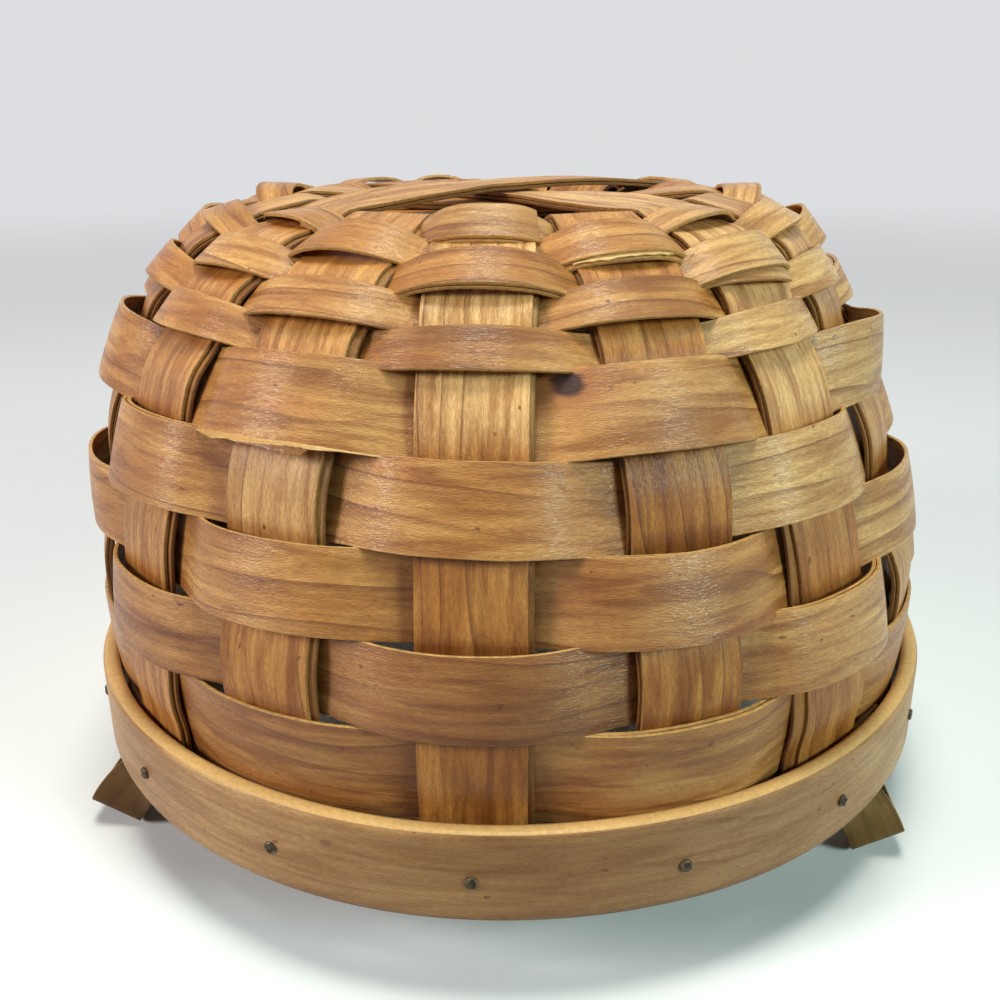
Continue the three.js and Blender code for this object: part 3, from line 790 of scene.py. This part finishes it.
# Stations of half a splint, from the rim up upright k and in to the middle of the base
def halfSplint(k, layer, middleHeight, seed):
    angle = uprightAngle(k)
    radial, sideways = radialAt(angle), sidewaysAt(angle)
    turnIn = radialAt(k * pitchAngle)
    stick, pair = k % uprights["count"], k % (uprights["count"] // 2)
    low, high = uprights["innerShift"].get(stick, (0.0, 0.0)) if layer < 0 else (0.0, 0.0)
    woven = wall["wovenLength"]
    stickTone = uprights["tone"].get(stick, [(0.0, 0.0)])
    stations = []
    count = round(woven / uprights["stationStep"])
    for i in range(count + 1):
        length = woven * i / count
        point, _, out = wallAt(length, angle)
        section = point + out * (layer * uprights["spread"] + pushAt(k, length))
        shift = mix(low, high, smooth((length - uprights["shiftFrom"]) / uprights["shiftOver"]))
        drift = slowWave(uprights["lean"], length, seed) + shift
        stickWave = slowWave(uprights["toneWave"], length, seed)
        stations.append({
            "centre": radial * section.x + up * section.y + sideways * drift,
            "across": -sideways,
            "out": radial * out.x + up * out.y,
            "width": between(uprights["width"], section.x) + slowWave(uprights["edgeWave"], length, seed),
            "bow": uprights["bow"] / section.x * out.x,
            # tone of the stick, less painted shade and dirt beside the bands over it
            "tone": between(stickTone, length) + stickWave - shadeAndDirtAt(k, length),
        })
    point, along, out = wallAt(woven, angle)
    start = point + out * layer * uprights["spread"]
    reach = start.x - uprights["stackRadius"].get(pair, uprights["fullStack"])
    rise = middleHeight - start.y
    steepness = max(0.0, min(1.0, (rise + uprights["slopeFrom"]) / uprights["slopeOver"]))
    slope = -along.y / along.x * steepness
    lift = min(slope * reach, max(2 * rise, uprights["leastLift"]))
    # the pairs below the topmost get painted shade towards the middle
    buried = 0.0 if pair in uprights["onTop"] else uprights["stackShade"]
    endDrift = sideways * slowWave(uprights["lean"], woven, seed)
    for i in range(1, uprights["riseSteps"] + 1):
        t = i / uprights["riseSteps"]
        height = start.y + rise * smooth(t) + lift * t * (1 - t) ** 2
        radius = start.x - reach * t
        inward = radial.lerp(turnIn, t).normalized()
        roll = uprights["roll"].get(stick, 0.0) * math.sin(math.pi * t)
        across = (up * roll - sidewaysAt(mix(angle, k * pitchAngle, t))).normalized()
        stations.append({
            "centre": inward * radius + up * height + endDrift * (1 - t),
            "across": across, "out": up, "width": between(uprights["width"], radius),
            "tone": between(stickTone, woven) - buried * smooth(t),
        })
    return stations


def addSplints():
    half = uprights["count"] // 2
    for k, height in uprights["stack"]:
        # the inner layer takes the darker copy of the wood, as painted shade
        for layer, prefix, finish in ((1, "splint", "splintWood"), (-1, "inner_splint", "shadedInnerSplintWood")):
            middle = height if layer > 0 else height - uprights["pairStep"]
            seed = k if layer > 0 else k + uprights["innerSeed"]
            near = halfSplint(k, layer, middle, seed)
            far = halfSplint(k + half, layer, middle, seed + uprights["farSeed"])
            for station in far:
                station["across"] = -station["across"]
            name = f"{prefix}_{k + 1}"
            piece = sweepStrip(name, near + far[::-1], uprights, finish)
            settle(piece, "splint_wood" if layer > 0 else "inner_splint_wood", name)


# Rim: a hoop outside and a hoop inside the uprights
hoops = {
    "outer_hoop": {"inside": 0.1255, "outside": 0.1305, "round": 0.0017},
    "inner_hoop": {"inside": 0.1172, "outside": 0.1211, "round": 0.0012},
}
hoopMake = {
    "bottom": 0.025, "height": 0.025, "steps": 192, "across": 8, "waves": 2.3, "waveSize": 0.0003,
    # painted light and shade: lighter to the left where the light falls, darker along the front, as (degrees
    # from the front, tone) stops
    "tone": [(-110, 0.0), (-60, 0.45), (-28, 0.0), (5, -0.62), (30, -0.48), (60, 0.10), (110, 0.0)],
}


def addHoops():
    for seed, (name, hoop) in enumerate(hoops.items()):
        middle = (hoop["inside"] + hoop["outside"]) / 2
        stations = []
        for i in range(hoopMake["steps"] + 1):
            angle = 2 * math.pi * i / hoopMake["steps"] - math.pi
            ripple = noise.noise(radialAt(angle) * hoopMake["waves"] + up * seed) * hoopMake["waveSize"]
            height = hoopMake["bottom"] + hoopMake["height"] / 2
            stations.append({
                "centre": radialAt(angle) * (middle + ripple) + up * height,
                "across": up, "out": radialAt(angle), "width": hoopMake["height"],
                "tone": between(hoopMake["tone"], math.degrees(angle)),
            })
        make = dict(hoop, across=hoopMake["across"], thickness=hoop["outside"] - hoop["inside"])
        piece = sweepStrip(name, stations, make, "hoopWood", closed=True)
        settle(piece, "hoop_wood", name)


# Nails through the rim, one at each upright
nails = {
    "height": 0.0363, "heightSpread": 0.0004, "headRadius": 0.00165, "headThick": 0.0007,
    "shankRadius": 0.0008, "pointLength": 0.0012, "steps": 20,
    # the edge of the head is cut back by this much and lower by this much, and its middle is a little raised
    "edgeIn": 0.00025, "edgeDown": 0.0002, "crown": 0.0001,
    # small square pads on the head, in rows from the middle, clear of its edge
    "padSize": 0.00034, "padPitch": 0.00058, "padRows": 2, "padClear": 0.00045, "padLift": 0.00008,
}


def addNails():
    outside = hoops["outer_hoop"]["outside"]
    inside = hoops["inner_hoop"]["inside"]
    head = nails["headRadius"]
    top = outside + nails["headThick"]
    shank = nails["shankRadius"]
    outline = [(0, inside), (shank, inside + nails["pointLength"]), (shank, outside), (head, outside),
               (head, top - nails["edgeDown"]), (head - nails["edgeIn"], top), (0, top + nails["crown"])]
    padRows = range(-nails["padRows"], nails["padRows"] + 1)
    for k in range(uprights["count"]):
        bm = bmesh.new()
        verts = [bm.verts.new((r, 0, h)) for r, h in outline]
        edges = [bm.edges.new(pair) for pair in zip(verts, verts[1:])]
        bmesh.ops.spin(bm, geom=verts + edges, cent=(0, 0, 0), axis=(0, 0, 1), angle=2 * math.pi,
                       steps=nails["steps"], use_merge=True)
        bmesh.ops.remove_doubles(bm, verts=bm.verts, dist=weldDistance)
        bmesh.ops.recalc_face_normals(bm, faces=bm.faces)
        for i in padRows:
            for j in padRows:
                spot = Vector((i, j, 0)) * nails["padPitch"]
                if spot.length < head - nails["padClear"]:
                    place = Matrix.Translation(spot + up * (top + nails["padLift"]))
                    place = place @ Matrix.Scale(nails["padSize"], 4)
                    bmesh.ops.create_cube(bm, size=1.0, matrix=place)
        radial = radialAt(k * pitchAngle)
        axes = Matrix((sidewaysAt(k * pitchAngle), up, radial)).transposed().to_4x4()
        raised = chance.uniform(-nails["heightSpread"], nails["heightSpread"])
        spot = Matrix.Translation(up * (nails["height"] + raised))
        turn = Matrix.Rotation(chance.uniform(0, math.pi / 2), 4, "Z")
        bmesh.ops.transform(bm, matrix=spot @ axes @ turn, verts=bm.verts)
        name = f"nail_{k + 1:02d}"
        piece = addPiece("steel_" + name, bm, finishes["nailSteel"])
        settle(piece, "nail_steel", name)


# Handles: a strap each side that leaves the rim, twists, and runs level under it
straps = {
    "width": 0.016, "thickness": 0.0018, "round": 0.0004, "across": 6, "lean": math.radians(27),
    "bendRadius": 0.005, "pull": 0.006, "bendSteps": 10, "twistSteps": 14, "gripSteps": 12,
    # the ends are held in the rim, this many uprights from the middle of the handle
    "clampPlace": 1.5, "clampRadius": 0.1232, "clampTop": 0.047,
    # how far each grip has been pulled outwards
    "pulled": {"handle_right": -0.0016, "handle_left": 0.0026},
    # the left handle is darkened as painted shade, for the shade under the rim
    "tone": {"handle_right": 0.0, "handle_left": -0.6},
}


# Half a handle: middle of the grip, round the bend, twisting up into the rim
def halfStrap(pulled):
    lean = straps["lean"]
    clampAngle = straps["clampPlace"] * pitchAngle
    along = Vector((0, 1, 0))
    clampAcross = Vector((math.sin(clampAngle), -math.cos(clampAngle), 0))
    clamp = Vector((math.cos(clampAngle), math.sin(clampAngle), 0)) * straps["clampRadius"]
    gripHeight = straps["width"] / 2 * math.sin(lean) + straps["thickness"] / 2 * math.cos(lean)
    legHeight = hoopMake["bottom"] - gripHeight
    gripX = clamp.x + legHeight * math.tan(lean) + pulled
    gripAcross = Vector((math.cos(lean), 0, math.sin(lean)))
    legUp = Vector((clamp.x - gripX, 0, legHeight)).normalized()
    bend = straps["bendRadius"]
    bendStart = Vector((gripX, clamp.y - bend, gripHeight))
    path = []
    for i in range(straps["gripSteps"]):
        path.append((Vector((gripX, bendStart.y * i / straps["gripSteps"], gripHeight)), along, gripAcross))
    for i in range(straps["bendSteps"] + 1):
        angle = i / straps["bendSteps"] * math.pi / 2
        centre = bendStart + along * bend * math.sin(angle) + legUp * bend * (1 - math.cos(angle))
        path.append((centre, along * math.cos(angle) + legUp * math.sin(angle), gripAcross))
    a = path[-1][0]
    d = clamp + up * hoopMake["bottom"]
    b, c = a + legUp * straps["pull"], d - up * straps["pull"]
    for i in range(1, straps["twistSteps"] + 1):
        t = i / straps["twistSteps"]
        centre = a * (1 - t) ** 3 + b * 3 * t * (1 - t) ** 2 + c * 3 * t * t * (1 - t) + d * t ** 3
        forward = (b - a) * (1 - t) ** 2 + (c - b) * 2 * t * (1 - t) + (d - c) * t * t
        path.append((centre, forward.normalized(), gripAcross.lerp(clampAcross, smooth(t))))
    path.append((clamp + up * straps["clampTop"], up, clampAcross))
    return path


def addHandles():
    flip = Vector((1, -1, 1))
    for name, turn in (("handle_right", 0), ("handle_left", math.pi)):
        half = halfStrap(straps["pulled"][name])
        mirrored = [(c * flip, -(f * flip), a * flip) for c, f, a in half[:0:-1]]
        spin = Matrix.Rotation(turn, 3, "Z")
        stations = []
        for centre, forward, across in mirrored + half:
            square = (across - forward * across.dot(forward)).normalized()
            stations.append({
                "centre": spin @ centre, "across": spin @ square, "out": spin @ forward.cross(square),
                "width": straps["width"], "tone": straps["tone"][name],
            })
        piece = sweepStrip(name, stations, straps, "strapWood")
        settle(piece, "strap_wood", name)


# The floor is pale to the eye, and gives back less light than it shows
floorLook = {
    "size": 9.0, "seen": (0.90, 0.90, 0.91, 1), "bounce": (0.08, 0.077, 0.074, 1), "rough": 0.7,
    "fadeFrom": 0.4, "fadeTo": 2.2,
    # share of the backdrop's own colour: none under the basket, some close by, all of it far off
    "glow": 0.45, "glowFrom": 0.115, "glowTo": 0.30,
}
skyLook = {"strength": 0.02, "colour": (0.97, 0.98, 1.0, 1), "seen": (0.72, 0.73, 0.75, 1)}
# Soft lamps to the left, to the right and above, and two small low ones for the gloss
lamps = [
    {"name": "left", "place": (-1.19, -0.67, 0.70), "size": 0.50, "power": 14.2,
     "colour": (1.0, 0.95, 0.92)},
    {"name": "lowLeft", "place": (-0.45, -0.97, 0.06), "size": 0.14, "power": 0.42,
     "colour": (1.0, 0.95, 0.92)},
    {"name": "lowRight", "place": (1.03, -0.18, 0.08), "size": 0.14, "power": 0.26,
     "colour": (0.95, 1.0, 0.95)},
    {"name": "right", "place": (1.00, -0.78, 0.65), "size": 0.45, "power": 11.8,
     "colour": (0.75, 1.0, 0.94)},
    {"name": "top", "place": (0.0, -0.15, 1.50), "size": 0.60, "power": 16.5,
     "colour": (0.96, 1.0, 0.90)},
]
lampAim = Vector((0, 0, 0.10))


# One where the eye or a mirror looks, nought where light only bounces
def seenDirectly(tree):
    path = addNode(tree, "ShaderNodeLightPath")
    glossy = maths(tree, "MAXIMUM", path.outputs["Is Camera Ray"], path.outputs["Is Glossy Ray"])
    return maths(tree, "MAXIMUM", glossy, path.outputs["Is Transmission Ray"])


def addFloor():
    bm = bmesh.new()
    bmesh.ops.create_grid(bm, x_segments=1, y_segments=1, size=floorLook["size"] / 2)
    material, tree, skin = newFinish("floorPaint")
    seen = seenDirectly(tree)
    plug(tree, tint(tree, seen, floorLook["bounce"], floorLook["seen"]), skin.inputs["Base Color"])
    skin.inputs["Roughness"].default_value = floorLook["rough"]
    # far off, the floor takes the colour of the sky
    place = addNode(tree, "ShaderNodeTexCoord").outputs["Object"]
    away = vectorMaths(tree, "LENGTH", place)
    near = ease(tree, away, floorLook["glowFrom"], floorLook["glowTo"], 0.0, floorLook["glow"])
    fade = ease(tree, away, floorLook["fadeFrom"], floorLook["fadeTo"], near, 1.0)
    glow = addNode(tree, "ShaderNodeEmission")
    glow.inputs["Color"].default_value = skyLook["seen"]
    showMixed(tree, "Material Output", maths(tree, "MULTIPLY", fade, seen), skin, glow)
    floor = addPiece("floor", bm, material)


def addLight():
    for lamp in lamps:
        data = bpy.data.lights.new(lamp["name"], "AREA")
        data.shape = "DISK"
        data.size = lamp["size"]
        data.energy = lamp["power"]
        data.color = lamp["colour"]
        holder = bpy.data.objects.new(lamp["name"], data)
        scene.collection.objects.link(holder)
        holder.location = lamp["place"]
        holder.rotation_euler = (lampAim - holder.location).to_track_quat("-Z", "Y").to_euler()
    world = bpy.data.worlds.new("studio")
    scene.world = world
    world.use_nodes = True
    tree = world.node_tree
    sky = tree.nodes["Background"]
    sky.inputs["Color"].default_value = skyLook["colour"]
    sky.inputs["Strength"].default_value = skyLook["strength"]
    backdrop = addNode(tree, "ShaderNodeBackground")
    backdrop.inputs["Color"].default_value = skyLook["seen"]
    showMixed(tree, "World Output", seenDirectly(tree), sky, backdrop)


addCamera()
addFloor()
addLight()
scene.view_settings.view_transform = "Standard"
print("camera, floor and light ready")
knots = placeKnots()
finishes = {name: makeWood(name, look, knots.get(name)) for name, look in woodLooks.items()}
finishes["nailSteel"] = makeNailSteel()
print("finishes made:", ", ".join(sorted(finishes)))
addSplints()
print("splints crossed")
addBands()
addTears()
print("bands woven")
addHoops()
addNails()
print("rim nailed")
addHandles()
print("handles bent")
